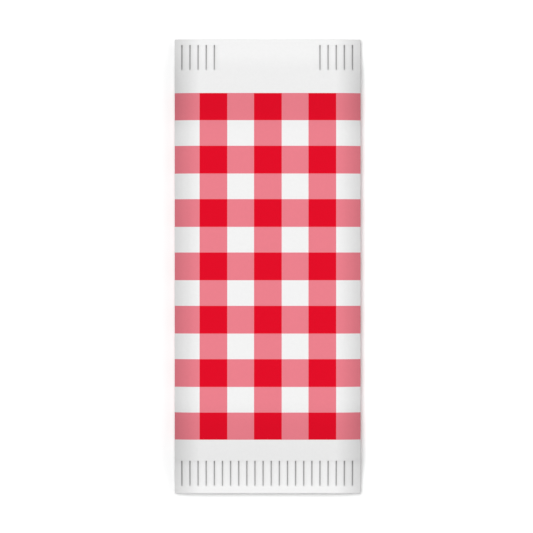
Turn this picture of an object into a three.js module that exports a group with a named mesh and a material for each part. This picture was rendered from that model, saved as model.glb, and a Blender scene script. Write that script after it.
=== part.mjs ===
// A table napkin sealed in a printed paper sachet, the flat pack that a bistro lays at each place.
//
// One web of heat-seal paper is folded round the napkin into a flat tube. Its two long edges are
// welded face to face down the back as a fin, which lies folded flat under the right half. Both ends
// of the tube are welded shut and crimped. The top end tears off along the edge of the printed panel
// as a cap, and the folded napkin is then drawn out of the mouth.
//
// Millimetres. The sachet lies on its back: +X right, +Y to the end that tears off, +Z up out of the
// printed face. The origin is on the surface that it lies on, under the middle of the sachet.

import * as THREE from "three";

// Driving dimensions.
const SACHET_WIDTH = 68.4;
const SACHET_THICKNESS = 8; // at the napkin
const SEAM_HEIGHT = 3; // of the side folds, and of the end seals at their middle
const PANEL_LENGTH = 127.4; // the printed panel, between the two plain bands
const BAND_LENGTH = 19.8; // each plain band, from the panel to the cut end
const BOTTOM_SEAL_LENGTH = 12.8;
const TOP_SEAL_LENGTH = 12;

const PAPER = 0.25; // the web's wall
const PLY_GAP = 0.2; // between two plies that lie on each other, or meet edge to edge
const TEAR_GAP = 0.3; // between the two sides of the tear line

const FIN_WIDTH = 9; // from the fin's root to its free edge
const FIN_RAMP = 1.6; // over which the back comes down to the surface beside the fin

const CRIMP_PITCH = 2.99;
const CRIMP_WIDTH = 0.8;
const CRIMP_DEPTH = 0.35;
const CRIMP_RAMP = 0.5; // over which a groove runs out at its ends
const CRIMP_SIDE_MARGIN = 2.5; // the least from the middle of a groove to a side edge
const CRIMP_ROOT_MARGIN = 0.75; // from the grooves to the inner edge of their seal
const BOTTOM_CRIMP_CUT_MARGIN = 2.65; // from the grooves to the cut end
const TOP_CRIMP_CUT_MARGIN = 1.95;
const TOP_CRIMPS_EACH_SIDE = 5; // between them the top seal is smooth

const NAPKIN_SIDE_CLEARANCE = 4.2; // from the napkin's folds to the side edges of the sachet
const NAPKIN_END_CLEARANCE = 3.7; // from its ends to the ends of the printed panel
const NAPKIN_PAPER_CLEARANCE = 0.3; // to the paper below it
const NAPKIN_MOUTH_CLEARANCE = 0.23; // to the paper above it, where it passes the tear line
const NAPKIN_CORNER = 3; // how far its folded ends are rounded
const NAPKIN_EDGE_SHARE = 0.35; // of its thickness, what its folded edges keep

// How the paper falls away from the napkin.
const SIDE_POWER = 6; // the higher, the flatter the sachet between its sides
const SIDE_ROUNDING = 0.8; // the lower, the blunter its side folds
const BACK_FULLNESS = 1.12; // the back would hang this much deeper, were it not for the surface
const FALL_START = 8.7; // before the panel's ends
const FALL_POWER = 1.8; // 1 is a straight ramp
const SEAL_DROOP = 1.8; // of an end seal's corners below its middle
const DROOP_POWER = 7;

// Worked out from those.
const HALF_WIDTH = SACHET_WIDTH / 2;
const CUT_END = PANEL_LENGTH / 2 + BAND_LENGTH;
const TEAR_LINE = PANEL_LENGTH / 2;
const TOP_SEAL_START = CUT_END - TOP_SEAL_LENGTH;
const BOTTOM_SEAL_START = BOTTOM_SEAL_LENGTH - CUT_END;
const FALL_FROM = PANEL_LENGTH / 2 - FALL_START;
const FRONT_RIM = SEAM_HEIGHT + PLY_GAP / 2; // the front's lower face, where it meets the back
const BACK_RIM = SEAM_HEIGHT - PLY_GAP / 2 - PAPER; // the back's lower face, where it meets the front
const RISE = SACHET_THICKNESS - PAPER - FRONT_RIM;
const FIN_STACK = 2 * (PAPER + PLY_GAP); // how high the back lies over the fin
const FIN_ROOT = PLY_GAP / 2;

// Where sections are cut: shares of the half width, closer where the paper bends, and steps of a fall.
const SHARES = [0, 0.3, 0.5, 0.62, 0.72, 0.8, 0.87, 0.92, 0.96, 0.985, 1];
const FALL_STEPS = 6;
const CUT_SPACING = 0.05; // two cuts closer than this are one

const material = (color, roughness) => new THREE.MeshStandardMaterial({ color, roughness, metalness: 0 });
const PRINTED = material(0xe0808c, 0.6);
const PLAIN = material(0xf2f2f2, 0.65);
const LINEN = material(0xf4ecec, 0.9);

const ascending = (a, b) => a - b;

/**
 * A closed wall between an upper and a lower face. Each row is { y, upper, lower }: the two faces at
 * one y, as [x, z] points from left to right. The rows run in the order of y.
 */
function wall(rows) {
  const count = rows[0].upper.length;
  const pointsOf = ({ y, upper, lower }) => [...upper, ...lower].flatMap(([x, z]) => [x, y, z]);
  const positions = rows.flatMap(pointsOf);
  const up = (row, i) => row * 2 * count + i;
  const low = (row, i) => up(row, i) + count;
  const right = count - 1;
  const last = rows.length - 1;
  const index = [];
  const quad = (a, b, c, d) => index.push(a, b, c, a, c, d);
  for (let row = 0; row < last; row++) {
    for (let i = 0; i < right; i++) {
      quad(up(row, i), up(row, i + 1), up(row + 1, i + 1), up(row + 1, i));
      quad(low(row, i), low(row + 1, i), low(row + 1, i + 1), low(row, i + 1));
    }
    quad(up(row, 0), up(row + 1, 0), low(row + 1, 0), low(row, 0));
    quad(up(row, right), low(row, right), low(row + 1, right), up(row + 1, right));
  }
  for (let i = 0; i < right; i++) {
    quad(low(0, i), low(0, i + 1), up(0, i + 1), up(0, i));
    quad(low(last, i), up(last, i), up(last, i + 1), low(last, i + 1));
  }
  const geometry = new THREE.BufferGeometry();
  geometry.setAttribute("position", new THREE.Float32BufferAttribute(positions, 3));
  geometry.setIndex(index);
  geometry.computeVertexNormals();
  return geometry;
}

/** The shares of the half width from one side edge to the other. */
const sharesAcross = () => [...SHARES.slice(1).map((share) => -share), ...SHARES].sort(ascending);

/** How full the sachet is at y: 1 over the napkin, falling to 0 where an end seal starts. */
function fullness(y) {
  const sealStart = y > 0 ? TOP_SEAL_START : -BOTTOM_SEAL_START;
  const share = THREE.MathUtils.clamp((Math.abs(y) - FALL_FROM) / (sealStart - FALL_FROM), 0, 1);
  return 1 - share ** FALL_POWER;
}

/** How high the pillow stands at a share of its half width, as a share of its height in the middle. */
const crown = (share) => Math.max(0, 1 - Math.abs(share) ** SIDE_POWER) ** SIDE_ROUNDING;

/** How far the paper droops at x and y: not at all over the napkin, and most at an end seal's corners. */
const droop = (x, y) => SEAL_DROOP * Math.abs(x / HALF_WIDTH) ** DROOP_POWER * (1 - fullness(y));

/** The y of each section of the tube between two ends, with the fall to each seal in FALL_STEPS. */
function tubeStations(from, to) {
  const falls = [];
  for (let step = 0; step <= FALL_STEPS; step++) {
    const share = step / FALL_STEPS;
    falls.push(THREE.MathUtils.lerp(FALL_FROM, TOP_SEAL_START, share));
    falls.push(THREE.MathUtils.lerp(-FALL_FROM, BOTTOM_SEAL_START, share));
  }
  const between = falls.filter((y) => y > from + CUT_SPACING && y < to - CUT_SPACING);
  return [from, ...between.sort(ascending), to];
}

/** The front of the tube between two ends, from side edge to side edge. */
function frontPaper(from, to) {
  const shares = sharesAcross();
  const rows = tubeStations(from, to).map((y) => {
    const height = (share) => FRONT_RIM + RISE * crown(share) * fullness(y) - droop(share * HALF_WIDTH, y);
    const upper = shares.map((share) => [share * HALF_WIDTH, height(share) + PAPER]);
    const lower = shares.map((share) => [share * (HALF_WIDTH - PAPER), height(share)]);
    return { y, upper, lower };
  });
  return wall(rows);
}

/** What the back lies on at x: the surface, or the fin. */
function restHeight(x) {
  if (x <= 0) return 0;
  const share = (x - FIN_WIDTH - PLY_GAP) / FIN_RAMP;
  return FIN_STACK * (1 - THREE.MathUtils.clamp(share, 0, 1));
}

/** The lower face of the back at x and y: where the paper would hang, but no lower than it lies. */
function backUnderside(x, y) {
  const hang = BACK_FULLNESS * BACK_RIM * crown(x / HALF_WIDTH) * fullness(y);
  return Math.max(restHeight(x), BACK_RIM - hang - droop(x, y));
}

/** One half of the back of the tube between two ends. side is -1 for the left, and 1 for the right. */
function backPaper(side, from, to) {
  const bends = side > 0 ? [FIN_WIDTH + PLY_GAP, FIN_WIDTH + PLY_GAP + FIN_RAMP] : [];
  const places = [FIN_ROOT, ...bends, ...SHARES.slice(1).map((share) => share * HALF_WIDTH)];
  const xs = places.map((x) => side * x).sort(ascending);
  const inwards = (HALF_WIDTH - PAPER) / HALF_WIDTH;
  const rows = tubeStations(from, to).map((y) => {
    const lower = xs.map((x) => [x, backUnderside(x, y)]);
    const upper = lower.map(([x, z]) => [Math.abs(x) > FIN_ROOT ? x * inwards : x, z + PAPER]);
    return { y, upper, lower };
  });
  return wall(rows);
}

/** The y of each section of an end seal, with how deep its grooves are there, from 0 to 1. */
function sealStations(end) {
  const outward = Math.sign(end.cut);
  const root = end.start + outward * CRIMP_ROOT_MARGIN;
  const tip = end.cut - outward * end.cutMargin;
  const stations = [
    [end.start, 0],
    [root, 0],
    [root + outward * CRIMP_RAMP, 1],
    [tip - outward * CRIMP_RAMP, 1],
    [tip, 0],
    [end.cut, 0],
  ];
  return stations.sort((a, b) => a[0] - b[0]);
}

/** The middles of an end seal's grooves, from left to right. */
function crimpPlaces(end) {
  const count = 1 + Math.floor((SACHET_WIDTH - 2 * CRIMP_SIDE_MARGIN) / CRIMP_PITCH);
  const middles = Array.from({ length: count }, (_, i) => (i - (count - 1) / 2) * CRIMP_PITCH);
  return middles.filter((_, i) => i < end.crimpsEachSide || i >= count - end.crimpsEachSide);
}

/** How far the crimps press a ply down at x: a V at each groove. */
function crimpDepth(end, x) {
  const depths = crimpPlaces(end).map((middle) => 1 - Math.abs(x - middle) / (CRIMP_WIDTH / 2));
  return CRIMP_DEPTH * Math.max(0, ...depths);
}

/** The points across a crimped ply between two edges, as [x, depth]. */
function crimpedAcross(end, left, right) {
  const turns = crimpPlaces(end).flatMap((x) => [x - CRIMP_WIDTH / 2, x, x + CRIMP_WIDTH / 2]);
  const inside = turns.filter((x) => x > left + CUT_SPACING && x < right - CUT_SPACING);
  return [left, ...inside, right].map((x) => [x, crimpDepth(end, x)]);
}

/** The rows of a crimped ply whose lower face lies at one height, but for its grooves. */
function crimpedRows(end, left, right, height) {
  const across = crimpedAcross(end, left, right);
  return sealStations(end).map(([y, share]) => {
    const lower = across.map(([x, depth]) => [x, height - depth * share - droop(x, y)]);
    return { y, upper: lower.map(([x, z]) => [x, z + PAPER]), lower };
  });
}

/** The end of the tube at the tear line, on the side that one end seal is on. */
const tearEdge = (end) => TEAR_LINE + (Math.sign(end.cut) * TEAR_GAP) / 2;

/**
 * A ply of the fin, from the tear line through an end seal, in which it is crimped as well. It lies
 * flat under the back. level is 0 for the ply on the surface, and 1 for the one on it.
 */
function finPly(end, level) {
  const lift = level * (PAPER + PLY_GAP);
  const left = FIN_ROOT + lift;
  const sealed = crimpedRows(end, left, FIN_WIDTH, BACK_RIM - FIN_STACK + lift);
  const across = crimpedAcross(end, left, FIN_WIDTH);
  const [from, to] = [end.start, tearEdge(end)].sort(ascending);
  const flat = tubeStations(from, to).map((y) => {
    const height = backUnderside(FIN_WIDTH, y) - FIN_STACK + lift;
    const lower = across.map(([x]) => [x, height]);
    return { y, upper: lower.map(([x, z]) => [x, z + PAPER]), lower };
  });
  const rows = [...flat, ...sealed.filter((row) => row.y !== end.start)];
  return wall(rows.sort((a, b) => a.y - b.y));
}

/** The folded napkin: a soft block, rounded at its folds and its ends, and no thicker than the mouth. */
function napkinBlock() {
  const bottom = FIN_STACK + PAPER + NAPKIN_PAPER_CLEARANCE;
  const top = FRONT_RIM + RISE * fullness(TEAR_LINE) - NAPKIN_MOUTH_CLEARANCE;
  const middle = (bottom + top) / 2;
  const halfWidth = HALF_WIDTH - NAPKIN_SIDE_CLEARANCE;
  const halfLength = PANEL_LENGTH / 2 - NAPKIN_END_CLEARANCE;
  const insets = [0, 0.3, 0.6, 1].map((share) => share * NAPKIN_CORNER);
  const ys = insets.flatMap((inset) => [inset - halfLength, halfLength - inset]).sort(ascending);
  const keptAt = (share) => THREE.MathUtils.lerp(NAPKIN_EDGE_SHARE, 1, share);
  const rows = ys.map((y) => {
    const short = 1 - (halfLength - Math.abs(y)) / NAPKIN_CORNER;
    const atEnd = keptAt(Math.sqrt(1 - Math.max(0, short) ** 2));
    const height = (share) => ((top - bottom) / 2) * atEnd * keptAt(crown(share));
    const upper = sharesAcross().map((share) => [share * halfWidth, middle + height(share)]);
    const lower = sharesAcross().map((share) => [share * halfWidth, middle - height(share)]);
    return { y, upper, lower };
  });
  return wall(rows);
}

/** One length of the sachet: its part of the tube and of the fin, and both plies of its end seal. */
function sachetLength(name, look, end) {
  const [from, to] = [tearEdge(end), end.start - Math.sign(end.cut) * PLY_GAP].sort(ascending);
  const group = new THREE.Group();
  const add = (part, geometry, partLook = look) => {
    const mesh = new THREE.Mesh(geometry, partLook);
    mesh.name = `${name}_${part}`;
    group.add(mesh);
  };
  add("front_paper", frontPaper(from, to));
  add("back_paper_left", backPaper(-1, from, to));
  add("back_paper_right", backPaper(1, from, to));
  add("fin_outer_ply", finPly(end, 0));
  add("fin_inner_ply", finPly(end, 1));
  add("seal_front_ply", wall(crimpedRows(end, -HALF_WIDTH, HALF_WIDTH, FRONT_RIM)), PLAIN);
  add("seal_back_ply", wall(crimpedRows(end, -HALF_WIDTH, HALF_WIDTH, BACK_RIM)), PLAIN);
  return group;
}

const BOTTOM_END = {
  start: BOTTOM_SEAL_START,
  cut: -CUT_END,
  cutMargin: BOTTOM_CRIMP_CUT_MARGIN,
  crimpsEachSide: Infinity,
};
const TOP_END = {
  start: TOP_SEAL_START,
  cut: CUT_END,
  cutMargin: TOP_CRIMP_CUT_MARGIN,
  crimpsEachSide: TOP_CRIMPS_EACH_SIDE,
};

const napkin = new THREE.Mesh(napkinBlock(), LINEN);
napkin.name = "napkin";

const sachet = new THREE.Group();
sachet.add(sachetLength("pouch", PRINTED, BOTTOM_END), sachetLength("cap", PLAIN, TOP_END), napkin);

export default sachet;
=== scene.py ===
"""A table napkin sealed in a gingham-printed paper sachet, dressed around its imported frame.

The sachet is one web of coated paper: folded round the napkin, welded to itself down the back as a fin,
and welded and crimped at both ends. The web is built here as the strip that it really is, from the free
edge of the fin's one ply, round the sachet, to the free edge of its other ply. The tear line cuts it in
two: the pouch, and the cap that tears off. The napkin is one square of cloth, folded into eight layers.
"""

import math

import bpy
import numpy as np
from bpy.props import (
    FloatProperty,
    FloatVectorProperty,
    IntProperty,
    PointerProperty,
)
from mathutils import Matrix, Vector


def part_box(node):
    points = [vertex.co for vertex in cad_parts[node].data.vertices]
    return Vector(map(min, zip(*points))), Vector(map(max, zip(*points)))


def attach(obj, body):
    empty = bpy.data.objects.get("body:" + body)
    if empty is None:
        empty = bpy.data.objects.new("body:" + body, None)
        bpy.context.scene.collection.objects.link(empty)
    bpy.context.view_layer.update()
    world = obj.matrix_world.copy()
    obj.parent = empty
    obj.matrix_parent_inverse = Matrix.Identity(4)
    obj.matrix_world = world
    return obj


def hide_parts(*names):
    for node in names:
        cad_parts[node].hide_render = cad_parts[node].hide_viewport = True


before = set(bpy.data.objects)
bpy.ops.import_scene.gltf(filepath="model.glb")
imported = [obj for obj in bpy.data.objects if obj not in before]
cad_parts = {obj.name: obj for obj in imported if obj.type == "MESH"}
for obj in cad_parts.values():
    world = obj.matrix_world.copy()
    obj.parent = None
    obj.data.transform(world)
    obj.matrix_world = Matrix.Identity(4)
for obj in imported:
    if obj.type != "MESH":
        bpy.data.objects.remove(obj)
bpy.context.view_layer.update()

bl_info = {
    "name": "Sachet-packed napkin",
    "version": (1, 0, 0),
    "blender": (4, 5, 0),
    "location": "3D View > Sidebar > Sachet",
    "description": "Builds the paper sachet, its folded napkin and a plain stage around the packed frame",
    "category": "Add Mesh",
}

MM = 0.001

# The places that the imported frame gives, in metres.
POUCH_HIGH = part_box("pouch_front_paper")[1]
CAP_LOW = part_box("cap_front_paper")[0]
BOTTOM_SEAL_LOW, BOTTOM_SEAL_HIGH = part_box("pouch_seal_front_ply")
TOP_SEAL_LOW, TOP_SEAL_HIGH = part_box("cap_seal_front_ply")
NAPKIN_LOW, NAPKIN_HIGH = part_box("napkin")
HALF_WIDTH = POUCH_HIGH.x
TOP = POUCH_HIGH.z
TEAR_LINE = (POUCH_HIGH.y + CAP_LOW.y) / 2
TOP_SEAL_START = TOP_SEAL_LOW.y
TOP_CUT = TOP_SEAL_HIGH.y
BOTTOM_SEAL_START = BOTTOM_SEAL_HIGH.y
BOTTOM_CUT = BOTTOM_SEAL_LOW.y
FIN_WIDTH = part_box("pouch_fin_outer_ply")[1].x

# Where the ends differ, the top end's value is at 1 and the bottom end's at -1.
SEAL_START = {1: TOP_SEAL_START, -1: -BOTTOM_SEAL_START}  # distances from the middle

# How the paper falls away from the napkin to the end seals, and rounds off at its sides.
FALL_FROM = 0.755 * TEAR_LINE
FALL_PAST_SEAL_START = {1: 8.4 * MM, -1: 10.6 * MM}
SEAL_END_HEIGHT = 3.3 * MM
SEAL_SAG = 1.3 * MM
BACK_RISE_FROM = 0.94 * TEAR_LINE
BACK_RISE_POWER = 1.8
SIDE_ROUND = 9 * MM
REST_SOFTNESS = 0.16 * MM  # of the bend where the back leaves what it lies on
WAVE_HEIGHT = 0.03 * MM
PUCKER_HEIGHT = 0.02 * MM
TEAR_FADE = 0.6 * MM

# The fin, and the plies that lie on each other.
FIN_ROOT = 0.25 * MM
FIN_RAMP = 1.6 * MM
PLY_OFFSET = 0.58  # half the distance between the middles of two plies, in thicknesses of the paper

# Painted shade at the paper's ends and sides, where it curves down to the side folds and falls to the seals.
END_PAINTED_SHADE = 0.37
SEAL_SIDE_PAINTED_SHADE = 0.42
FALL_SIDE_PAINTED_SHADE = 0.9
SEAL_FADE = {1: 9 * MM, -1: 3.2 * MM}

# The crimps, as the sealing jaws press them.
CRIMP_PITCH = 2.99 * MM
CRIMP_COUNT = 22
CRIMP_SHIFT = -0.165 * MM
CRIMPS_AT_TOP_SIDES = 5
CRIMP_ROOT_MARGIN = 0.75 * MM
BOTTOM_CRIMP_CUT_MARGIN = 2.65 * MM
TOP_CRIMP_CUT_MARGIN = 1.95 * MM
GROOVE_FOOT = 0.45 * MM  # half the length over which a groove runs out at its lower end
GROOVE_HEAD_BELOW = 0.3 * MM  # where a groove starts to stop at its upper end
GROOVE_HEAD_ABOVE = 0.1 * MM  # where it has stopped
# how far the painted shade at a groove's upper end reaches
GROOVE_HEAD_SHADE = 0.7 * MM

# The folded napkin: a fan of panels, folded in half.
PANELS = 4
TURN_LENGTH = 1.1 * MM
TURN_REACH = 0.34 * MM
HALF_FOLD_REACH = 5 * MM  # of the closer rows, each way from the fold
HEM_THICKENING = 0.5
HEM_EDGE = 0.3 * MM  # over which the hem thins out to the single cloth
NAPKIN_CLEARANCE = 0.3 * MM
NAPKIN_SETTLING = 0.12 * MM

# The print, in checks. A share is half an inked stripe's width.
COLUMN_SHARE = 0.508
ROW_SHARE = 0.52
COLUMN_SHIFT = -0.008
SHOW_THROUGH = 0.18  # the share of the ink that the inner face shows

# The paper's finish: how much darker it is in a groove, partly its pressed tone and partly painted shade,
# and how strong the painted shade at its ends and sides is.
CRIMP_SHADE = 0.72
PAINTED_SHADE_STRENGTH = 0.18
PAPER_ROUGHNESS = 0.82
RIBS_PER_CHECK = 10.0  # on the fin, as the sealing wheels press them

# The hem's running stitch.
STITCH_PLACE = 0.8  # in from the cloth's edge, in widths of the hem
STITCH_HALF_WIDTH = 0.017  # in checks
STITCHES_PER_CHECK = 4.0
STITCH_SHARE = 0.72  # of the distance from one stitch to the next

# The stage.
FLOOR_RADIUS = 5.0
FLOOR_RIM = 0.6
KEY_LEAN = (-0.77, 0.64)  # the direction in which the key light leans
SIDE_LIGHT_FROM = (1.73, 0, 1)
SIDE_LIGHT_SIZE = math.radians(50)
CAMERA_SHIFT = (-0.42 * MM, -0.05 * MM)

ROOM = 0.05 * MM  # the least between two rows or two columns
SHARP_ANGLE = math.radians(60)


class SachetPaper(bpy.types.PropertyGroup):
    """The sizes and colours of the paper web."""

    thickness: FloatProperty(
        name="Paper thickness",
        description="Thickness of the coated paper",
        default=0.12 * MM,
        min=0.05 * MM,
        max=0.3 * MM,
        subtype="DISTANCE",
        unit="LENGTH",
    )
    seam_height: FloatProperty(
        name="Seam height",
        description="Height of the side folds over the floor",
        default=3.2 * MM,
        min=1 * MM,
        max=6 * MM,
        subtype="DISTANCE",
        unit="LENGTH",
    )
    crimp_width: FloatProperty(
        name="Crimp width",
        description="Width of one groove of the end seals",
        default=0.8 * MM,
        min=0.2 * MM,
        max=2 * MM,
        subtype="DISTANCE",
        unit="LENGTH",
    )
    crimp_depth: FloatProperty(
        name="Crimp depth",
        description="Depth of one groove of the end seals",
        default=0.5 * MM,
        min=0,
        max=1 * MM,
        subtype="DISTANCE",
        unit="LENGTH",
    )
    check: FloatProperty(
        name="Check",
        description="Width of one stripe of the printed gingham",
        default=10 * MM,
        min=2 * MM,
        max=40 * MM,
        subtype="DISTANCE",
        unit="LENGTH",
    )
    check_rows: IntProperty(
        name="Check rows",
        description="Rows of checks on the printed panel",
        default=13,
        min=1,
        max=60,
    )
    paper_colour: FloatVectorProperty(
        name="Paper",
        description="Colour of the unprinted paper",
        default=(0.74, 0.74, 0.74),
        min=0,
        max=1,
        subtype="COLOR",
    )
    pink_colour: FloatVectorProperty(
        name="Pink ink",
        description="Colour where one stripe of the print is inked",
        default=(0.684, 0.178, 0.218),
        min=0,
        max=1,
        subtype="COLOR",
    )
    red_colour: FloatVectorProperty(
        name="Red ink",
        description="Colour where both stripes of the print cross",
        default=(0.625, 0.0006, 0.0142),
        min=0,
        max=1,
        subtype="COLOR",
    )


class SachetNapkin(bpy.types.PropertyGroup):
    """The sizes and colours of the folded napkin."""

    side: FloatProperty(
        name="Napkin side",
        description="Side of the napkin before it was folded",
        default=240 * MM,
        min=100 * MM,
        max=600 * MM,
        subtype="DISTANCE",
        unit="LENGTH",
    )
    thickness: FloatProperty(
        name="Cloth thickness",
        description="Thickness of one layer of the cloth",
        default=0.32 * MM,
        min=0.1 * MM,
        max=1 * MM,
        subtype="DISTANCE",
        unit="LENGTH",
    )
    hem: FloatProperty(
        name="Hem",
        description="Width of the turned hem",
        default=6 * MM,
        min=1 * MM,
        max=20 * MM,
        subtype="DISTANCE",
        unit="LENGTH",
    )
    check: FloatProperty(
        name="Check",
        description="Width of one stripe of the woven gingham",
        default=10 * MM,
        min=2 * MM,
        max=40 * MM,
        subtype="DISTANCE",
        unit="LENGTH",
    )
    thread: FloatProperty(
        name="Thread",
        description="Distance from one thread to the next",
        default=0.29 * MM,
        min=0.1 * MM,
        max=2 * MM,
        subtype="DISTANCE",
        unit="LENGTH",
    )
    white_colour: FloatVectorProperty(
        name="White yarn",
        description="Colour of the undyed yarn",
        default=(0.8, 0.78, 0.75),
        min=0,
        max=1,
        subtype="COLOR",
    )
    red_colour: FloatVectorProperty(
        name="Red yarn",
        description="Colour of the dyed yarn",
        default=(0.56, 0.012, 0.025),
        min=0,
        max=1,
        subtype="COLOR",
    )


class SachetStage(bpy.types.PropertyGroup):
    """The floor, the light and the camera."""

    lens: FloatProperty(
        name="Lens",
        description="Focal length of the camera, in millimetres",
        default=400,
        min=20,
        max=600,
    )
    view_width: FloatProperty(
        name="View width",
        description="Width of the view at the height of the seams",
        default=196.2 * MM,
        min=100 * MM,
        max=1,
        subtype="DISTANCE",
        unit="LENGTH",
    )
    key_strength: FloatProperty(
        name="Key light",
        description="Strength of the light from above",
        default=3.19,
        min=0,
        max=20,
    )
    key_size: FloatProperty(
        name="Key light size",
        description="Angle that the light from above spans: the wider, the softer the shadows",
        default=math.radians(50),
        min=0,
        max=math.radians(120),
        subtype="ANGLE",
        unit="ROTATION",
    )
    key_tilt: FloatProperty(
        name="Key light tilt",
        description="How far the light from above leans to the upper left",
        default=math.radians(15),
        min=0,
        max=math.radians(80),
        subtype="ANGLE",
        unit="ROTATION",
    )
    fill_strength: FloatProperty(
        name="Fill light",
        description="Strength of the even light from all around",
        default=0.09,
        min=0,
        max=5,
    )
    side_strength: FloatProperty(
        name="Side light",
        description="Strength of the broad light from the right",
        default=0.92,
        min=0,
        max=20,
    )


# ---------------------------------------------------------------- shapes


def smooth_step(low, high, value):
    """0 below low, 1 above high, and 3t^2 - 2t^3 between them."""
    t = np.clip((value - low) / (high - low), 0, 1)
    return t * t * (3 - 2 * t)


def soft_max(a, b, softness):
    """The larger of a and b, with the corner rounded: (a + b + sqrt((a - b)^2 + softness^2)) / 2."""
    return (a + b + np.sqrt((a - b) ** 2 + softness**2)) / 2


def at_end(y, values):
    """Of the values for the top end and the bottom end, the one for the end that y is nearer to."""
    return np.where(y > 0, values[1], values[-1])


def front_middle(y, top):
    """The height of the front's middle line: top over the napkin, then falling as (1 - t^3)^2.

    t runs from 0 where the fall starts to 1 inside the end seal, which is why a seal slopes down to its cut.
    """
    fall_to = at_end(y, SEAL_START) + at_end(y, FALL_PAST_SEAL_START)
    t = np.clip((np.abs(y) - FALL_FROM) / (fall_to - FALL_FROM), 0, 1)
    return SEAL_END_HEIGHT + (top - SEAL_END_HEIGHT) * (1 - t**3) ** 2


def in_seal(y):
    """0 over the napkin, rising smoothly to 1 where an end seal starts."""
    return smooth_step(FALL_FROM, at_end(y, SEAL_START), np.abs(y))


def side_height(y, seam, top):
    """The height of the side folds: seam over the napkin, and SEAL_SAG below the middle in the seals.

    Along a fall it doesn't rise over its height where the seal starts.
    """
    start = at_end(y, {1: TOP_SEAL_START, -1: BOTTOM_SEAL_START})
    sagged = np.minimum(front_middle(y, top), front_middle(start, top)) - SEAL_SAG
    return seam + (sagged - seam) * in_seal(y)


def crown(x):
    """How far a face has risen from its side fold: 1 - (1 - d / SIDE_ROUND)^2, with d from the fold."""
    inwards = np.clip((HALF_WIDTH - np.abs(x)) / SIDE_ROUND, 0, 1)
    return 1 - (1 - inwards) ** 2


def back_middle(y, rest, top, gap):
    """The height of the back's middle line: at rest, then rising as t^1.8 to gap below the front's."""
    start = at_end(y, SEAL_START)
    t = np.clip((np.abs(y) - BACK_RISE_FROM) / (start - BACK_RISE_FROM), 0, 1) ** BACK_RISE_POWER
    welded = front_middle(np.where(np.abs(y) > start, y, np.sign(y) * start), top) - gap
    return rest + (welded - rest) * t


def groove_middles(at_top):
    """The x of each groove's middle: CRIMP_COUNT of them across, but only the outer ones at the top."""
    middles = (np.arange(CRIMP_COUNT) - (CRIMP_COUNT - 1) / 2) * CRIMP_PITCH + CRIMP_SHIFT
    if at_top:
        return np.concatenate([middles[:CRIMPS_AT_TOP_SIDES], middles[-CRIMPS_AT_TOP_SIDES:]])
    return middles


def groove_ends(at_top):
    """The y of the grooves' lower and upper ends in one end seal."""
    if at_top:
        return TOP_SEAL_START + CRIMP_ROOT_MARGIN, TOP_CUT - TOP_CRIMP_CUT_MARGIN
    return BOTTOM_CUT + BOTTOM_CRIMP_CUT_MARGIN, BOTTOM_SEAL_START - CRIMP_ROOT_MARGIN


def crimp_share(x, y, width):
    """How deep the crimps are at x and y, from 0 to 1.

    Across a groove it is (1 - d^2)^2, with d from -1 to 1. Along it the groove starts sharply at its upper
    end, and gets a tenth shallower and runs out softly at its lower one.
    """
    share = np.zeros(np.broadcast(x, y).shape)
    for at_top in (False, True):
        low, high = groove_ends(at_top)
        along = smooth_step(low - GROOVE_FOOT, low + GROOVE_FOOT, y)
        along = along * (1 - smooth_step(high - GROOVE_HEAD_BELOW, high + GROOVE_HEAD_ABOVE, y))
        along = along * (0.9 + 0.1 * np.clip((y - low) / (high - low), 0, 1))
        for middle in groove_middles(at_top):
            d = np.clip((x - middle) / (width / 2), -1, 1)
            share = np.maximum(share, (1 - d * d) ** 2 * along)
    return share


def crimp_shade(x, y, width):
    """How dark the crimps are: 0.92 of their depth, and up to 0.3 more at their upper ends.

    The darkening is partly the pressed paper's own greyer tone and partly painted shade in the grooves. The
    extra at the upper ends is painted shade, where the end walls face away from the key light. That part dies
    away as exp(-(distance / GROOVE_HEAD_SHADE)^2).
    """
    end = np.where(y > 0, groove_ends(True)[1], groove_ends(False)[1])
    return crimp_share(x, y, width) * (0.92 + 0.3 * np.exp(-(((end - y) / GROOVE_HEAD_SHADE) ** 2)))


def painted_shade(x, y):
    """How much painted shade the paper gets: 0 over the napkin, up to 1 at the side folds.

    It stands in for the shade where the paper curves down to its side folds and falls to the end seals.
    Towards a side fold it rises evenly over SIDE_ROUND, and further beside the falls and the seals. Past
    the napkin's ends it rises to the share set for the ends, and falls back in the seals, where the paper is
    welded to its other half.
    """
    sides = 1 - np.clip((HALF_WIDTH - np.abs(x)) / SIDE_ROUND, 0, 1)
    start = at_end(y, SEAL_START)
    welded = smooth_step(start, start + at_end(y, SEAL_FADE), np.abs(y))
    ends = smooth_step(FALL_FROM, BACK_RISE_FROM, np.abs(y)) * (1 - welded)
    beside = SEAL_SIDE_PAINTED_SHADE * in_seal(y) + FALL_SIDE_PAINTED_SHADE * ends
    return 1 - (1 - sides * (1 + beside)) * (1 - END_PAINTED_SHADE * ends)


def ripple(x, y):
    """The paper's slight unevenness: long waves over the napkin, and puckers that fan out at each fall.

    The waves are a product of two sines, and a third sine that runs slantwise. The puckers are a sine
    across the sachet whose phase sways, and are highest halfway down a fall. Both die out towards the side
    folds.
    """
    waves = np.sin(x * 95 + 1.3) * np.sin(y * 71 + 0.4) + 0.6 * np.sin(x * 160 - y * 57 + 2.1)
    in_fall = np.sin(math.pi * in_seal(y)) ** 2
    puckers = np.sin(x * 720 + 1.5 * np.sin(x * 210 + np.sign(y)))
    inside = 1 - smooth_step(0.8 * HALF_WIDTH, HALF_WIDTH, np.abs(x))
    return (WAVE_HEIGHT * waves * (1 - in_seal(y)) + PUCKER_HEIGHT * puckers * in_fall) * inside


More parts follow.
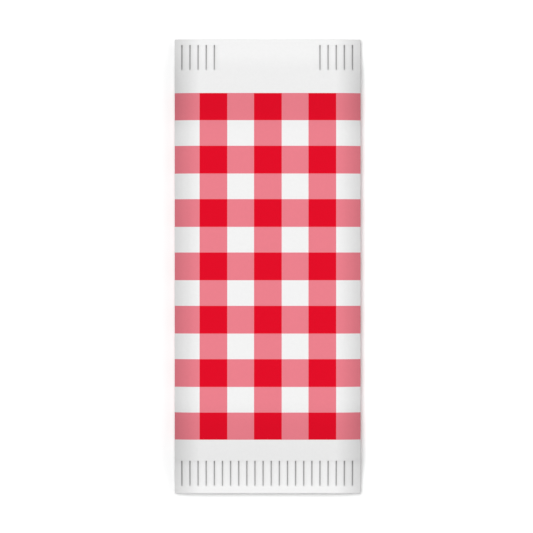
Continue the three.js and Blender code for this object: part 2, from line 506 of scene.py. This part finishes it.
def across_front(width, side):
    """The x of the columns across one face: seven over each groove, and closer towards the side folds."""
    groove = np.array([-1, -0.62, -0.3, 0, 0.3, 0.62, 1]) * width / 2
    grooves = (groove_middles(False)[:, None] + groove).ravel()
    share = np.sin(np.linspace(0, math.pi / 2, 11)[1:])
    left = grooves[0] + (-side - grooves[0]) * share
    right = grooves[-1] + (side - grooves[-1]) * share
    return np.concatenate([left[::-1], grooves, right])


def web_points(ys, paper):
    """The middle surface of the web at each y, and where each column lies on the flat web.

    The columns run from the free edge of the fin's inner ply to its root, round that fold, along the right
    half of the back, round the right side fold, over the front, round the left side fold, along the left
    half of the back, and out along the fin's outer ply. The front and the back rise from the side folds by
    their crown. The back lies on the surface or on the fin, whichever is higher. Each fold is half a circle
    whose radius is half the distance between the plies that it joins.
    Returns the points, as rows by columns by 3, and each column's distance along the web from the middle of
    the front.
    """
    offset = PLY_OFFSET * paper.thickness
    top = TOP - paper.thickness / 2
    fold_x = HALF_WIDTH - offset - paper.thickness / 2
    xs = across_front(paper.crimp_width, fold_x)
    right = np.insert(xs[xs > FIN_ROOT + ROOM], 0, FIN_ROOT)
    left = np.append(xs[xs < -FIN_ROOT - ROOM], -FIN_ROOT)
    fin = np.append(right[right < FIN_WIDTH - ROOM], FIN_WIDTH)
    y = ys[:, None]
    side = side_height(y, paper.seam_height, top)

    def crimped(x):
        return paper.crimp_depth * crimp_share(x, y, paper.crimp_width)

    def front(x):
        edge = side + offset
        return edge + (front_middle(y, top) - edge) * crown(x) - crimped(x) + ripple(x, y)

    def back(x, over_fin):
        rest = paper.thickness / 2
        if over_fin:
            rest = rest + 4 * offset * (1 - smooth_step(FIN_WIDTH, FIN_WIDTH + FIN_RAMP, x))
        edge = side - offset
        across = edge + (back_middle(y, paper.thickness / 2, top, 2 * offset) - edge) * crown(x)
        return soft_max(rest, across, REST_SOFTNESS) - crimped(x)

    def turn(x, z, facing):
        angle = np.radians([-135, 180, 135] if facing < 0 else [-45, 0, 45])
        return x + offset * np.cos(angle), z + offset * np.sin(angle)

    root_z = back(np.array([FIN_ROOT]), True)
    root_x, root_turn_z = turn(FIN_ROOT, root_z - offset, -1)
    right_x, right_z = turn(fold_x, side, 1)
    left_x, left_z = turn(-fold_x, side, -1)
    inner = fin[::-1]
    width = 2 * HALF_WIDTH
    # Each strip is its columns' x, their heights, and their distances along the web.
    strips = [
        (inner, back(inner, True) - 2 * offset, width + inner),
        (root_x, root_turn_z, np.full(3, width)),
        (right, back(right, True), width - right),
        (right_x, right_z, np.full(3, HALF_WIDTH)),
        (xs[::-1], front(xs[::-1]), xs[::-1]),
        (left_x, left_z[:, ::-1], np.full(3, -HALF_WIDTH)),
        (left, back(left, False), -width - left),
        (fin, back(fin, True) - 4 * offset, -width - fin),
    ]
    x = np.concatenate([np.broadcast_to(strip[0], (len(ys), len(strip[0]))) for strip in strips], axis=1)
    z = np.concatenate([strip[1] for strip in strips], axis=1)
    along = np.concatenate([strip[2] for strip in strips])
    return np.stack([x, np.broadcast_to(y, x.shape), z], axis=-1), along


def tear_edge(along):
    """How far the torn edge strays from the tear line at each place along the web: a sum of three sines.

    Each has its waves per metre times 2 pi, its start as an angle, and its height in millimetres.
    """
    waves = ((1900, 0.4, 0.05), (3100, 1.9, 0.035), (7300, 2.7, 0.02))
    return sum(height * MM * np.sin(along * count + start) for count, start, height in waves)


def surface_normals(points):
    """The unit normals of a grid of points: the cross product of its slopes along rows and columns."""
    down = np.gradient(points, axis=0)
    along = np.gradient(points, axis=1)
    normals = np.cross(down, along)
    return normals / np.linalg.norm(normals, axis=-1, keepdims=True)


def grid_faces(rows, columns, start, turned):
    """The quads of a grid whose points are numbered row by row from start."""
    index = np.arange(rows * columns).reshape(rows, columns) + start
    a, b, c, d = index[:-1, :-1], index[:-1, 1:], index[1:, 1:], index[1:, :-1]
    corners = (a, b, c, d) if turned else (a, d, c, b)
    return np.stack([corner.ravel() for corner in corners], axis=1)


def add_mask(mesh, name, values):
    """A named value on each point of a mesh, for its material to read."""
    attribute = mesh.attributes.new(name, "FLOAT", "POINT")
    attribute.data.foreach_set("value", values.astype(np.float32))


def sheet_object(name, points, thickness, uv, masks):
    """A closed sheet: a grid of points, offset both ways along its normals by half of thickness.

    Its outer face lies on the side that the cross product of the row and column slopes points to. uv is
    each point's place on the flat sheet. masks are named values, one for each point, the same on both
    faces, and the mask "outer" is added: 1 on the outer face and 0 on the inner one.
    """
    rows, columns = points.shape[:2]
    count = rows * columns
    half = np.broadcast_to(thickness, (rows, columns))[..., None] / 2
    normals = surface_normals(points)
    outer, inner = points + normals * half, points - normals * half
    vertices = np.concatenate([outer.reshape(-1, 3), inner.reshape(-1, 3)])
    index = np.arange(count).reshape(rows, columns)
    rim = np.concatenate([index[0, :-1], index[:-1, -1], index[-1, :0:-1], index[:0:-1, 0]])
    next_rim = np.roll(rim, -1)
    walls = np.stack([rim, next_rim, next_rim + count, rim + count], axis=1)
    faces = np.concatenate(
        [grid_faces(rows, columns, 0, False), grid_faces(rows, columns, count, True), walls]
    )
    mesh = bpy.data.meshes.new(name)
    mesh.from_pydata(vertices.tolist(), [], faces.tolist())
    mesh.polygons.foreach_set("use_smooth", np.ones(len(faces), bool))
    mesh.set_sharp_from_angle(angle=SHARP_ANGLE)
    corner_vertices = np.empty(len(mesh.loops), np.int32)
    mesh.loops.foreach_get("vertex_index", corner_vertices)
    layer = mesh.uv_layers.new(name="flat")
    layer.data.foreach_set("uv", uv.reshape(-1, 2)[corner_vertices % count].astype(np.float32).ravel())
    for mask, values in masks.items():
        add_mask(mesh, mask, np.tile(values.ravel(), 2))
    add_mask(mesh, "outer", np.repeat([1.0, 0.0], count))
    mesh.validate()
    mesh.update()
    piece = bpy.data.objects.new(name, mesh)
    bpy.context.scene.collection.objects.link(piece)
    return piece


def spans(*stops):
    """Values that run evenly through stops, given as value, count, value, count, ..., value."""
    parts = [np.linspace(stops[i], stops[i + 2], stops[i + 1] + 1)[:-1] for i in range(0, len(stops) - 2, 2)]
    return np.append(np.concatenate(parts), stops[-1])


def pouch_rows():
    """The y of each row of the pouch's web, closest where the grooves start and stop."""
    low, high = groove_ends(False)
    return spans(
        *(BOTTOM_CUT, 3, low - GROOVE_FOOT, 5, low + GROOVE_FOOT, 7),
        *(high - GROOVE_HEAD_BELOW - ROOM, 5, high + GROOVE_HEAD_ABOVE + ROOM, 2),
        *(BOTTOM_SEAL_START, 22, -FALL_FROM, 22, FALL_FROM, 14),
        *(TEAR_LINE - TEAR_FADE, 3, TEAR_LINE),
    )


def cap_rows():
    """The y of each row of the cap's web, closest where the grooves start and stop."""
    low, high = groove_ends(True)
    return spans(
        *(TEAR_LINE, 3, TEAR_LINE + TEAR_FADE, 12),
        *(low - GROOVE_FOOT - ROOM, 5, low + GROOVE_FOOT, 6),
        *(high - GROOVE_HEAD_BELOW - ROOM, 5, high + GROOVE_HEAD_ABOVE + ROOM, 3, TOP_CUT),
    )


def paper_web(name, ys, paper):
    """One length of the web. Its tear edge strays a little, as torn paper does, over TEAR_FADE."""
    points, along = web_points(ys, paper)
    at_tear = 1 - np.clip(np.abs(ys - TEAR_LINE) / TEAR_FADE, 0, 1)
    points[..., 1] += at_tear[:, None] * tear_edge(along)
    flat_x = np.broadcast_to(along, points.shape[:2])
    uv = np.stack([flat_x, points[..., 1]], axis=-1)
    on_fin = (np.abs(along) > 2 * HALF_WIDTH + FIN_ROOT).astype(float)
    masks = {
        # Masks: the grooves' darkening (partly pressed tone, partly painted shade), the painted shade at the
        # ends and sides, and the fin.
        "crimp": crimp_shade(points[..., 0], ys[:, None], paper.crimp_width),
        "painted_shade": painted_shade(points[..., 0], ys[:, None]),
        "fin": np.broadcast_to(on_fin, points.shape[:2]),
    }
    return sheet_object(name, points, paper.thickness, uv / paper.check, masks)


def mouth_height(x, seam, top):
    """The height of the front paper at the tear line."""
    side = side_height(TEAR_LINE, seam, top)
    return side + (front_middle(TEAR_LINE, top) - side) * crown(x)


def folded_across(napkin, pitch, half):
    """Where each column of the napkin lies after its first folds: its x and its level above the first panel.

    The cloth is folded like a fan into four panels, so x runs from -half to half and back, and each panel
    lies pitch above the last. A turn between panels is half an ellipse: x = half + TURN_REACH sin(t), and
    level = pitch (1 - cos(t)) / 2. The turns stray sideways a little, as hand-laid folds do.
    """
    panel = napkin.side / PANELS
    straight = spans(0, 22, panel - TURN_LENGTH, 8, panel)
    last = spans(0, 22, panel - TURN_LENGTH)
    turned = [number * panel + straight[:-1] for number in range(PANELS - 1)]
    place = np.concatenate([*turned, (PANELS - 1) * panel + last])
    number = np.floor(place / panel + 1e-6)
    inside = place - number * panel
    t = np.clip((inside - (panel - TURN_LENGTH)) / TURN_LENGTH, 0, 1) * math.pi
    run = np.minimum(inside / (panel - TURN_LENGTH), 1) * 2 * half - half
    x = np.where(number % 2 == 0, 1, -1) * (run + TURN_REACH * np.sin(t))
    level = pitch * (number + (1 - np.cos(t)) / 2)
    stray = 0.22 * MM * np.sin(place * 83 + 0.7) + 0.12 * MM * np.sin(place * 211)
    return place, x + stray, level


def napkin_points(napkin, low, high, seam):
    """The middle surface of the folded napkin, and each point's place on the flat cloth.

    The fan of four panels is folded in half: it runs along y, round half a circle whose radius is half the
    stack's height less the panel's level, and back above itself. The stack is pressed down to
    NAPKIN_CLEARANCE below the paper at the mouth, and settles in low waves, the same for all its layers,
    that die out at its foot.
    """
    hemmed = (1 + HEM_THICKENING) * napkin.thickness
    height = high[2] - low[2] - hemmed
    half = (high[0] - low[0]) / 2 - TURN_REACH - napkin.thickness / 2
    place, x, level = folded_across(napkin, height / (2 * PANELS - 1), half)
    radius = height / 2 - level
    fold_y = high[1] - height / 2 - napkin.thickness / 2
    base = low[2] + hemmed / 2
    middle = napkin.side / 2
    along = spans(0, 60, middle - HALF_FOLD_REACH, 24, middle + HALF_FOLD_REACH, 60, napkin.side)
    arc = along[:, None] - middle
    angle = np.clip(arc / radius, -math.pi / 2, math.pi / 2)
    y = fold_y + radius * np.cos(angle) - np.maximum(np.abs(arc) - math.pi * radius / 2, 0)
    z = height / 2 + radius * np.sin(angle)
    x = np.broadcast_to(x, y.shape)
    waves = 0.1 * MM * np.sin(x * 118 + 1.1) * np.sin(y * 64 + 0.5) + 0.05 * MM * np.sin(x * 240 - y * 150)
    room = mouth_height(x, seam, TOP) - napkin.thickness - NAPKIN_CLEARANCE - base
    pressed = np.minimum(1, room / height)
    z = base + z * pressed + (waves - NAPKIN_SETTLING) * np.clip(z / height, 0, 1)
    flat = np.stack(np.broadcast_arrays(place[None, :], along[:, None]), axis=-1)
    return np.stack([x, y, z], axis=-1), flat


def floor_points():
    """A round floor's x, y and z: level to FLOOR_RADIUS, where it curves up as a quarter circle of FLOOR_RIM.

    Its rows run outwards from a small circle round the middle, and its columns run round it.
    """
    angle = np.linspace(0, 2 * math.pi, 97)[:-1]
    bend = np.sin(np.linspace(0, math.pi / 2, 17))
    level = np.concatenate([[0.004], np.linspace(0.04, 0.96, 9)]) * FLOOR_RADIUS
    radius = np.concatenate([level, FLOOR_RADIUS + FLOOR_RIM * bend])[:, None]
    height = np.concatenate([np.zeros(len(level)), FLOOR_RIM * (1 - np.sqrt(1 - bend**2))])[:, None]
    return np.stack(np.broadcast_arrays(radius * np.cos(angle), radius * np.sin(angle), height), axis=-1)


def floor_object():
    """The floor's mesh: quads between the rows of its points, and a fan of triangles in the middle."""
    points = floor_points()
    rows, columns = points.shape[:2]
    index = np.arange(rows * columns).reshape(rows, columns)
    after = np.roll(index, -1, axis=1)
    quads = np.stack([index[:-1], index[1:], after[1:], after[:-1]], axis=-1).reshape(-1, 4)
    centre = np.stack([np.full(columns, rows * columns), index[0], after[0]], axis=-1)
    vertices = np.concatenate([points.reshape(-1, 3), np.zeros((1, 3))])
    mesh = bpy.data.meshes.new("floor")
    mesh.from_pydata(vertices.tolist(), [], quads.tolist() + centre.tolist())
    mesh.polygons.foreach_set("use_smooth", np.ones(len(mesh.polygons), bool))
    mesh.update()
    floor = bpy.data.objects.new("floor", mesh)
    bpy.context.scene.collection.objects.link(floor)
    return floor


# ---------------------------------------------------------------- materials


class Nodes:
    """Adds nodes to a tree, and sets or links what is given for their sockets."""

    def __init__(self, tree):
        self.tree = tree

    def feed(self, node, values):
        """Sets the node's sockets to values, and links to them those values that are sockets themselves."""
        for key, value in values.items():
            if isinstance(value, bpy.types.NodeSocket):
                self.tree.links.new(value, node.inputs[key])
            else:
                node.inputs[key].default_value = value

    def add(self, kind, values=None, **settings):
        """A new node with its settings, fed with values."""
        node = self.tree.nodes.new(kind)
        for key, value in settings.items():
            setattr(node, key, value)
        self.feed(node, values or {})
        return node

    def maths(self, operation, *values):
        return self.add("ShaderNodeMath", dict(enumerate(values)), operation=operation).outputs[0]

    def attribute(self, name):
        return self.add("ShaderNodeAttribute", attribute_name=name).outputs["Fac"]

    def axes(self, vector):
        return self.add("ShaderNodeSeparateXYZ", {0: vector}).outputs

    def mix_value(self, factor, a, b):
        return self.add("ShaderNodeMix", {"Factor": factor, 2: a, 3: b}).outputs[0]

    def mix(self, factor, a, b, blend="MIX"):
        node = self.add("ShaderNodeMix", {"Factor": factor, 6: a, 7: b}, data_type="RGBA", blend_type=blend)
        return node.outputs[2]

    def toned(self, colour, tone):
        """The colour times a tone, which is 1 where it stays as it is."""
        grey = self.add("ShaderNodeCombineColor", {0: tone, 1: tone, 2: tone}).outputs[0]
        return self.mix(1.0, colour, grey, "MULTIPLY")


def new_group(name, inputs, outputs):
    """A node group with sockets given as name, type and default."""
    group = bpy.data.node_groups.new(name, "ShaderNodeTree")
    for label, kind, default in inputs:
        socket = group.interface.new_socket(label, in_out="INPUT", socket_type=kind)
        if default is not None:
            socket.default_value = default
    for label, kind in outputs:
        group.interface.new_socket(label, in_out="OUTPUT", socket_type=kind)
    nodes = Nodes(group)
    return group, nodes, nodes.add("NodeGroupInput"), nodes.add("NodeGroupOutput")


def gingham_group():
    """Two masks from a place in checks: Along is 1 on every other column, and Across on every other row.

    A place runs back and forth between 0 and 1, and the mask is 1 where that is below the stripe's share,
    with an edge that is twice Edge wide. The paper and the napkin share this group.
    """
    name = "gingham stripes"
    if name in bpy.data.node_groups:
        return bpy.data.node_groups[name]
    group, nodes, given, result = new_group(
        name,
        [
            ("Place", "NodeSocketVector", None),
            ("Along share", "NodeSocketFloat", 0.5),
            ("Across share", "NodeSocketFloat", 0.5),
            ("Edge", "NodeSocketFloat", 0.004),
        ],
        [("Along", "NodeSocketFloat"), ("Across", "NodeSocketFloat")],
    )
    place = nodes.axes(given.outputs["Place"])
    for axis, label in ((0, "Along"), (1, "Across")):
        share = given.outputs[label + " share"]
        stripe = nodes.add(
            "ShaderNodeMapRange",
            {
                "Value": nodes.maths("PINGPONG", place[axis], 1.0),
                "From Min": nodes.maths("SUBTRACT", share, given.outputs["Edge"]),
                "From Max": nodes.maths("ADD", share, given.outputs["Edge"]),
                "To Min": 1.0,
                "To Max": 0.0,
            },
        )
        nodes.feed(result, {label: stripe.outputs[0]})
    return group


def fibre_group():
    """Paper fibres: a mottle that lightens and darkens, and a height for a bump."""
    group, nodes, given, result = new_group(
        "paper fibres",
        [("Scale", "NodeSocketFloat", 1.0)],
        [("Mottle", "NodeSocketFloat"), ("Height", "NodeSocketFloat")],
    )
    place = nodes.add("ShaderNodeTexCoord").outputs["Object"]
    scale = given.outputs["Scale"]
    cloudy = nodes.add(
        "ShaderNodeTexNoise",
        {"Vector": place, "Scale": nodes.maths("MULTIPLY", scale, 900.0), "Detail": 4.0},
    ).outputs["Fac"]
    stretched = nodes.add("ShaderNodeMapping", {"Vector": place, "Scale": (1.0, 0.35, 1.0)}).outputs[0]
    fibres = nodes.add(
        "ShaderNodeTexNoise",
        {"Vector": stretched, "Scale": nodes.maths("MULTIPLY", scale, 5200.0), "Detail": 3.0},
    ).outputs["Fac"]
    height = nodes.maths("ADD", nodes.maths("MULTIPLY", cloudy, 0.4), fibres)
    nodes.feed(result, {"Mottle": nodes.maths("SUBTRACT", cloudy, 0.5), "Height": height})
    return group


def new_material(name):
    """A material, its nodes, and its shader."""
    material = bpy.data.materials.new(name)
    material.use_nodes = True
    nodes = Nodes(material.node_tree)
    shader = material.node_tree.nodes["Principled BSDF"]
    return material, nodes, shader


def rgba(colour):
    """An opaque colour."""
    return (*colour, 1.0)


def printed_colour(nodes, place, paper):
    """The gingham print between the bands: pink on a column or a row, and red where they cross.

    The rows are stretched so that check_rows of them fill the panel. The inner face shows SHOW_THROUGH of
    the ink.
    """
    half_panel = TEAR_LINE / paper.check
    row_scale = paper.check_rows / (2 * half_panel)
    rows = nodes.add(
        "ShaderNodeMapping",
        {"Vector": place, "Location": (COLUMN_SHIFT, 0.0, 0.0), "Scale": (1.0, row_scale, 1.0)},
    )
    stripes = nodes.add(
        "ShaderNodeGroup",
        {"Place": rows.outputs[0], "Along share": COLUMN_SHARE, "Across share": ROW_SHARE},
        node_tree=gingham_group(),
    )
    on_panel = nodes.maths("LESS_THAN", nodes.maths("ABSOLUTE", nodes.axes(place)[1]), half_panel)
    ink = nodes.maths("MULTIPLY_ADD", nodes.attribute("outer"), 1 - SHOW_THROUGH, SHOW_THROUGH)
    printed = nodes.maths("MULTIPLY", on_panel, ink)
    along = nodes.maths("MULTIPLY", stripes.outputs["Along"], printed)
    across = nodes.maths("MULTIPLY", stripes.outputs["Across"], printed)
    either = nodes.maths("MAXIMUM", along, across)
    both = nodes.maths("MULTIPLY", along, across)
    pink = nodes.mix(either, rgba(paper.paper_colour), rgba(paper.pink_colour))
    return nodes.mix(both, pink, rgba(paper.red_colour))


def paper_tone(nodes, mottle):
    """How light the paper is: the fibres' mottle, darker in the grooves, partly for the pressed paper's tone
    and partly as painted shade, and painted shade towards the side folds and down the falls.
    """
    shade = nodes.maths("MULTIPLY_ADD", mottle, 0.05, 1.0)
    # The grooves: partly the pressed paper's tone, partly painted shade.
    pressed = nodes.maths("SUBTRACT", 1.0, nodes.maths("MULTIPLY", nodes.attribute("crimp"), CRIMP_SHADE))
    # Painted shade towards the side folds and down the falls to the seals.
    painted_shade_factor = nodes.maths("SUBTRACT", 1.0, nodes.maths("MULTIPLY", nodes.attribute("painted_shade"), PAINTED_SHADE_STRENGTH))
    return nodes.maths("MULTIPLY", nodes.maths("MULTIPLY", shade, pressed), painted_shade_factor)


def paper_relief(nodes, place, height):
    """The paper's normals: its fibres all over, and pressed ribs across the fin, RIBS_PER_CHECK of them."""
    fibre_bump = nodes.add("ShaderNodeBump", {"Height": height, "Strength": 0.2, "Distance": 0.05 * MM})
    rib = nodes.maths("PINGPONG", nodes.maths("MULTIPLY", nodes.axes(place)[1], RIBS_PER_CHECK), 0.5)
    bump = nodes.add(
        "ShaderNodeBump",
        {
            "Height": nodes.maths("MULTIPLY", rib, nodes.attribute("fin")),
            "Strength": 0.5,
            "Distance": 0.15 * MM,
            "Normal": fibre_bump.outputs[0],
        },
    )
    return bump.outputs[0]


def paper_material(paper):
    """Satin coated paper: white, printed with gingham on its outer face, which shows faintly through."""
    material, nodes, shader = new_material("printed paper")
    place = nodes.add("ShaderNodeUVMap", uv_map="flat").outputs["UV"]
    fibres = nodes.add("ShaderNodeGroup", {"Scale": 1.0}, node_tree=fibre_group())
    mottle = fibres.outputs["Mottle"]
    values = {
        "Base Color": nodes.toned(printed_colour(nodes, place, paper), paper_tone(nodes, mottle)),
        "Roughness": nodes.maths("MULTIPLY_ADD", mottle, 0.12, PAPER_ROUGHNESS),
        "Specular IOR Level": 0.08,
        "Normal": paper_relief(nodes, place, fibres.outputs["Height"]),
    }
    nodes.feed(shader, values)
    return material


def stitch_mask(nodes, at, napkin):
    """1 on the running stitch that holds the hem, along both directions of the cloth."""
    checks = napkin.side / napkin.check
    line = STITCH_PLACE * napkin.hem / napkin.check
    masks = []
    for across, along in ((0, 1), (1, 0)):
        in_from_edge = nodes.maths("PINGPONG", at[across], checks / 2)
        off_line = nodes.maths("ABSOLUTE", nodes.maths("SUBTRACT", in_from_edge, line))
        on_line = nodes.maths("LESS_THAN", off_line, STITCH_HALF_WIDTH)
        stitches = nodes.maths("FRACT", nodes.maths("MULTIPLY", at[along], STITCHES_PER_CHECK))
        masks.append(nodes.maths("MULTIPLY", on_line, nodes.maths("LESS_THAN", stitches, STITCH_SHARE)))
    return nodes.maths("MAXIMUM", *masks)


def thread_height(nodes, count):
    """The height across a round thread, from its place in threads: sqrt(2 w), with w up to 0.5 and back."""
    return nodes.maths("SQRT", nodes.maths("MULTIPLY", nodes.maths("PINGPONG", count, 0.5), 2.0))


def cloth_material(napkin):
    """Plain-woven gingham: at each crossing the yarn on top, warp or weft, gives the colour."""
    material, nodes, shader = new_material("napkin cloth")
    place = nodes.add("ShaderNodeUVMap", uv_map="flat").outputs["UV"]
    stripes = nodes.add("ShaderNodeGroup", {"Place": place}, node_tree=gingham_group()).outputs
    threads = napkin.check / napkin.thread
    at = nodes.axes(place)
    across = nodes.maths("MULTIPLY", at[0], threads)
    along = nodes.maths("MULTIPLY", at[1], threads)
    cells = nodes.add("ShaderNodeCombineXYZ", {0: across, 1: along, 2: 0.5}).outputs[0]
    warp_on_top = nodes.add("ShaderNodeTexChecker", {"Vector": cells, "Scale": 1.0}).outputs["Fac"]
    height = nodes.mix_value(warp_on_top, thread_height(nodes, along), thread_height(nodes, across))
    dyed = nodes.mix_value(warp_on_top, stripes["Across"], stripes["Along"])
    colour = nodes.mix(dyed, rgba(napkin.white_colour), rgba(napkin.red_colour))
    slub = nodes.add("ShaderNodeTexNoise", {"Vector": cells, "Scale": 0.35, "Detail": 3.0}).outputs["Fac"]
    # Painted shade between the threads and painted light on their crowns, with the yarn's slub as its own
    # tone.
    painted_weave_shade_and_slub = nodes.maths("ADD", nodes.maths("MULTIPLY", height, 0.6), slub)
    tone = nodes.add("ShaderNodeMapRange", {"Value": painted_weave_shade_and_slub, "From Max": 1.5, "To Min": 0.72, "To Max": 1.08})
    stitch = stitch_mask(nodes, at, napkin)
    raised = nodes.maths("ADD", height, nodes.maths("MULTIPLY", stitch, 2.0))
    bump = nodes.add("ShaderNodeBump", {"Height": raised, "Strength": 0.6, "Distance": 0.1 * MM})
    values = {
        "Base Color": nodes.mix(stitch, nodes.toned(colour, tone.outputs[0]), rgba(napkin.white_colour)),
        "Normal": bump.outputs[0],
        "Roughness": 0.85,
        "Sheen Weight": 0.25,
        "Sheen Roughness": 0.5,
        "Specular IOR Level": 0.25,
    }
    nodes.feed(shader, values)
    return material


def floor_material():
    """A plain, pale, matt surface with a faint mottle."""
    material, nodes, shader = new_material("pale floor")
    place = nodes.add("ShaderNodeTexCoord").outputs["Object"]
    noise = nodes.add("ShaderNodeTexNoise", {"Vector": place, "Scale": 8.0}).outputs["Fac"]
    tone = nodes.add("ShaderNodeMapRange", {"Value": noise, "To Min": 0.86, "To Max": 0.88}).outputs[0]
    grey = nodes.add("ShaderNodeCombineColor", {0: tone, 1: tone, 2: tone}).outputs[0]
    nodes.feed(shader, {"Base Color": grey, "Roughness": 0.9, "Specular IOR Level": 0.08})
    return material


# ---------------------------------------------------------------- operators


class SACHET_OT_paper(bpy.types.Operator):
    """Build the pouch and the cap from the paper web"""

    bl_idname = "sachet.paper"
    bl_label = "Paper web"

    def execute(self, context):
        paper = context.scene.sachet_paper
        look = paper_material(paper)
        for name, ys, body, slot in (
            ("pouch_web", pouch_rows(), "pouch", "printed_paper"),
            ("cap_web", cap_rows(), "cap", "plain_paper"),
        ):
            piece = paper_web(name, ys, paper)
            piece.data.materials.append(look)
            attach(piece, body)
            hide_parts(*(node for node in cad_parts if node.startswith(body + "_")))
        return {"FINISHED"}


class SACHET_OT_napkin(bpy.types.Operator):
    """Build the folded napkin"""

    bl_idname = "sachet.napkin"
    bl_label = "Folded napkin"

    def execute(self, context):
        napkin = context.scene.sachet_napkin
        seam = context.scene.sachet_paper.seam_height
        points, uv = napkin_points(napkin, NAPKIN_LOW, NAPKIN_HIGH, seam)
        edge = np.minimum(uv, napkin.side - uv).min(axis=-1)
        hem = 1 - smooth_step(napkin.hem - HEM_EDGE, napkin.hem, edge)
        thickness = napkin.thickness * (1 + HEM_THICKENING * hem)
        piece = sheet_object("napkin_cloth", points, thickness, uv / napkin.check, {"hem": hem})
        piece.data.materials.append(cloth_material(napkin))
        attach(piece, "napkin")
        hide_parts("napkin")
        return {"FINISHED"}


def add_sun(name, strength, size, place):
    """A broad light that shines from the direction of place towards the origin."""
    light = bpy.data.lights.new(name, "SUN")
    light.energy = strength
    light.angle = size
    lamp = bpy.data.objects.new(name, light)
    lamp.location = place
    lamp.rotation_euler = Vector(place).to_track_quat("Z", "Y").to_euler()
    bpy.context.scene.collection.objects.link(lamp)


class SACHET_OT_stage(bpy.types.Operator):
    """Lay the floor and set the light and the camera"""

    bl_idname = "sachet.stage"
    bl_label = "Stage"

    def execute(self, context):
        settings = context.scene.sachet_stage
        scene = context.scene
        floor = floor_object()
        floor.data.materials.append(floor_material())

        world = bpy.data.worlds.new("soft fill")
        world.use_nodes = True
        background = world.node_tree.nodes["Background"]
        background.inputs["Color"].default_value = (1, 1, 1, 1)
        background.inputs["Strength"].default_value = settings.fill_strength
        scene.world = world

        lean = math.tan(settings.key_tilt)
        key_from = (KEY_LEAN[0] * lean, KEY_LEAN[1] * lean, 1)
        add_sun("key", settings.key_strength, settings.key_size, key_from)
        add_sun("side", settings.side_strength, SIDE_LIGHT_SIZE, SIDE_LIGHT_FROM)

        camera_data = bpy.data.cameras.new("camera")
        camera_data.lens = settings.lens
        camera_data.clip_end = 10
        camera = bpy.data.objects.new("camera", camera_data)
        distance = settings.view_width * settings.lens / camera_data.sensor_width
        camera.location = (*CAMERA_SHIFT, scene.sachet_paper.seam_height + distance)
        scene.collection.objects.link(camera)
        scene.camera = camera
        scene.view_settings.view_transform = "Standard"
        return {"FINISHED"}


class SACHET_PT_panel(bpy.types.Panel):
    """Lists the builders and their settings."""

    bl_idname = "SACHET_PT_panel"
    bl_label = "Sachet"
    bl_space_type = "VIEW_3D"
    bl_region_type = "UI"
    bl_category = "Sachet"

    def draw(self, context):
        scene = context.scene
        for group, operator in (
            (scene.sachet_paper, SACHET_OT_paper),
            (scene.sachet_napkin, SACHET_OT_napkin),
            (scene.sachet_stage, SACHET_OT_stage),
        ):
            box = self.layout.box()
            for name in group.__annotations__:
                box.prop(group, name)
            box.operator(operator.bl_idname)


CLASSES = (
    SachetPaper,
    SachetNapkin,
    SachetStage,
    SACHET_OT_paper,
    SACHET_OT_napkin,
    SACHET_OT_stage,
    SACHET_PT_panel,
)
SETTINGS = {"sachet_paper": SachetPaper, "sachet_napkin": SachetNapkin, "sachet_stage": SachetStage}


def register():
    for item in CLASSES:
        bpy.utils.register_class(item)
    for name, group in SETTINGS.items():
        setattr(bpy.types.Scene, name, PointerProperty(type=group))


def unregister():
    for name in SETTINGS:
        delattr(bpy.types.Scene, name)
    for item in reversed(CLASSES):
        bpy.utils.unregister_class(item)


def main():
    register()
    bpy.ops.sachet.paper()
    bpy.ops.sachet.napkin()
    bpy.ops.sachet.stage()


if __name__ == "__main__":
    main()
